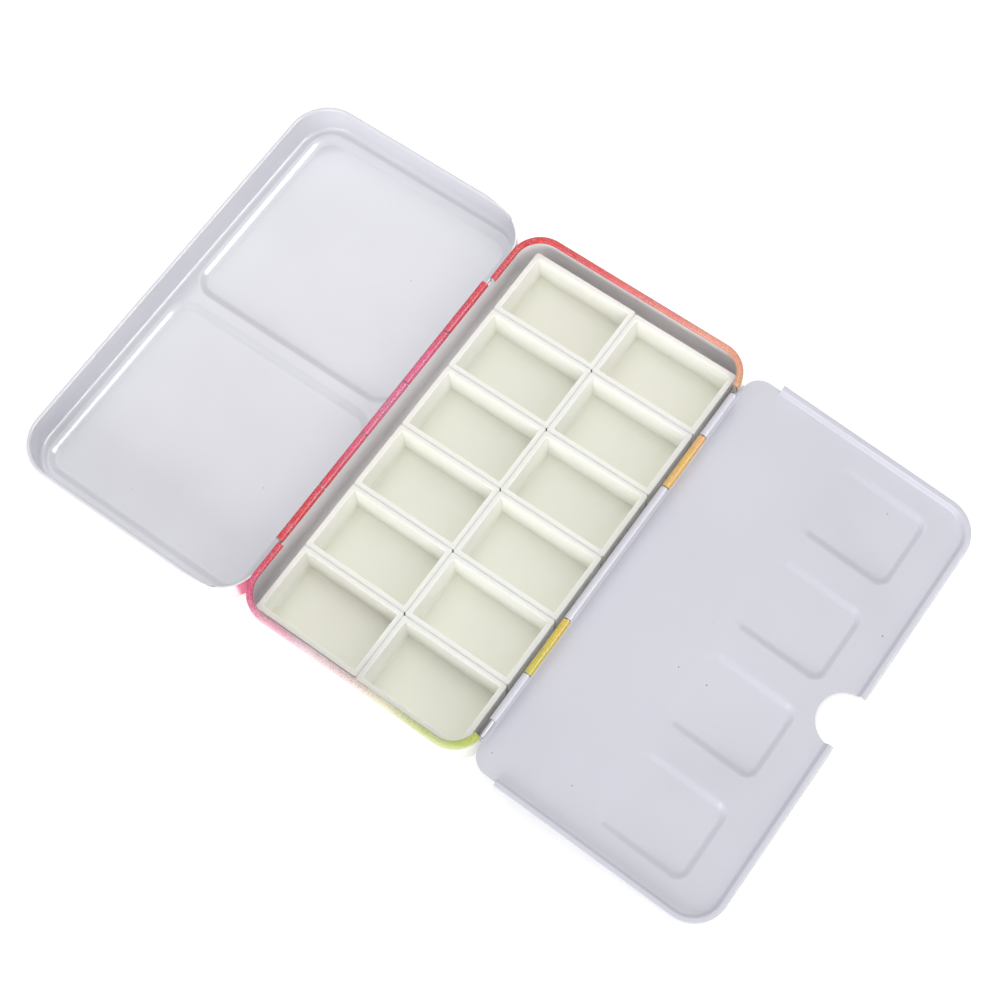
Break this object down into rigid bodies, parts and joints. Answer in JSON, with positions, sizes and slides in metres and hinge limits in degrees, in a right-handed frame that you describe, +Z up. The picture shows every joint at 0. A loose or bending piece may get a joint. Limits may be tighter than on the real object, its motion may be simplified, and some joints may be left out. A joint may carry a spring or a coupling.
{
  "type": "watercolour tin",
  "caption": "Flat hinged metal paint tin shown fully open, with a dished mixing lid, a folding palette flap and loose rectangular plastic pans.",
  "frame": {"origin": "middle of the tray's flat underside", "axes": "+Z up, +X from the lid's hinge towards the palette flap's hinge, +Y along the hinges"},
  "size_m": [0.2061, 0.1258, 0.013],
  "materials": {
    "printed_tin": "glossy printed tinplate outside, grey-white enamel inside",
    "white_enamel": "glossy white enamel inside, printed outside",
    "palette_enamel": "satin white enamel",
    "steel_wire": "drawn wire",
    "ivory_plastic": "smooth moulded ivory plastic"
  },
  "bodies": {
    "tray": {"base_tray": "printed_tin", "lid_hinge_pin": "steel_wire", "flap_hinge_pin": "steel_wire"},
    "lid": {"lid_shell": "white_enamel"},
    "flap": {"palette_flap": "palette_enamel"},
    "pan_lid_side_1": {"pan_lid_side_1": "ivory_plastic"},
    "pan_lid_side_2": {"pan_lid_side_2": "ivory_plastic"},
    "pan_lid_side_3": {"pan_lid_side_3": "ivory_plastic"},
    "pan_lid_side_4": {"pan_lid_side_4": "ivory_plastic"},
    "pan_lid_side_5": {"pan_lid_side_5": "ivory_plastic"},
    "pan_lid_side_6": {"pan_lid_side_6": "ivory_plastic"},
    "pan_flap_side_1": {"pan_flap_side_1": "ivory_plastic"},
    "pan_flap_side_2": {"pan_flap_side_2": "ivory_plastic"},
    "pan_flap_side_3": {"pan_flap_side_3": "ivory_plastic"},
    "pan_flap_side_4": {"pan_flap_side_4": "ivory_plastic"},
    "pan_flap_side_5": {"pan_flap_side_5": "ivory_plastic"},
    "pan_flap_side_6": {"pan_flap_side_6": "ivory_plastic"}
  },
  "joints": [
    {"name": "lid_hinge", "type": "hinge", "parent": "tray", "child": "lid", "pos_m": [-0.03425, 0, 0.01195], "axis": [0, -1, 0], "range_deg": [-180.8, 0]},
    {"name": "flap_hinge", "type": "hinge", "parent": "tray", "child": "flap", "pos_m": [0.03425, 0, 0.01195], "axis": [0, 1, 0], "range_deg": [-187.3, 0]},
    {"name": "pan_lid_side_1_lift", "type": "slide", "parent": "tray", "child": "pan_lid_side_1", "axis": [0, 0, 1], "range_m": [0, 0.02]},
    {"name": "pan_lid_side_2_lift", "type": "slide", "parent": "tray", "child": "pan_lid_side_2", "axis": [0, 0, 1], "range_m": [0, 0.02]},
    {"name": "pan_lid_side_3_lift", "type": "slide", "parent": "tray", "child": "pan_lid_side_3", "axis": [0, 0, 1], "range_m": [0, 0.02]},
    {"name": "pan_lid_side_4_lift", "type": "slide", "parent": "tray", "child": "pan_lid_side_4", "axis": [0, 0, 1], "range_m": [0, 0.02]},
    {"name": "pan_lid_side_5_lift", "type": "slide", "parent": "tray", "child": "pan_lid_side_5", "axis": [0, 0, 1], "range_m": [0, 0.02]},
    {"name": "pan_lid_side_6_lift", "type": "slide", "parent": "tray", "child": "pan_lid_side_6", "axis": [0, 0, 1], "range_m": [0, 0.02]},
    {"name": "pan_flap_side_1_lift", "type": "slide", "parent": "tray", "child": "pan_flap_side_1", "axis": [0, 0, 1], "range_m": [0, 0.002]},
    {"name": "pan_flap_side_2_lift", "type": "slide", "parent": "tray", "child": "pan_flap_side_2", "axis": [0, 0, 1], "range_m": [0, 0.02]},
    {"name": "pan_flap_side_3_lift", "type": "slide", "parent": "tray", "child": "pan_flap_side_3", "axis": [0, 0, 1], "range_m": [0, 0.02]},
    {"name": "pan_flap_side_4_lift", "type": "slide", "parent": "tray", "child": "pan_flap_side_4", "axis": [0, 0, 1], "range_m": [0, 0.02]},
    {"name": "pan_flap_side_5_lift", "type": "slide", "parent": "tray", "child": "pan_flap_side_5", "axis": [0, 0, 1], "range_m": [0, 0.02]},
    {"name": "pan_flap_side_6_lift", "type": "slide", "parent": "tray", "child": "pan_flap_side_6", "axis": [0, 0, 1], "range_m": [0, 0.02]}
  ]
}
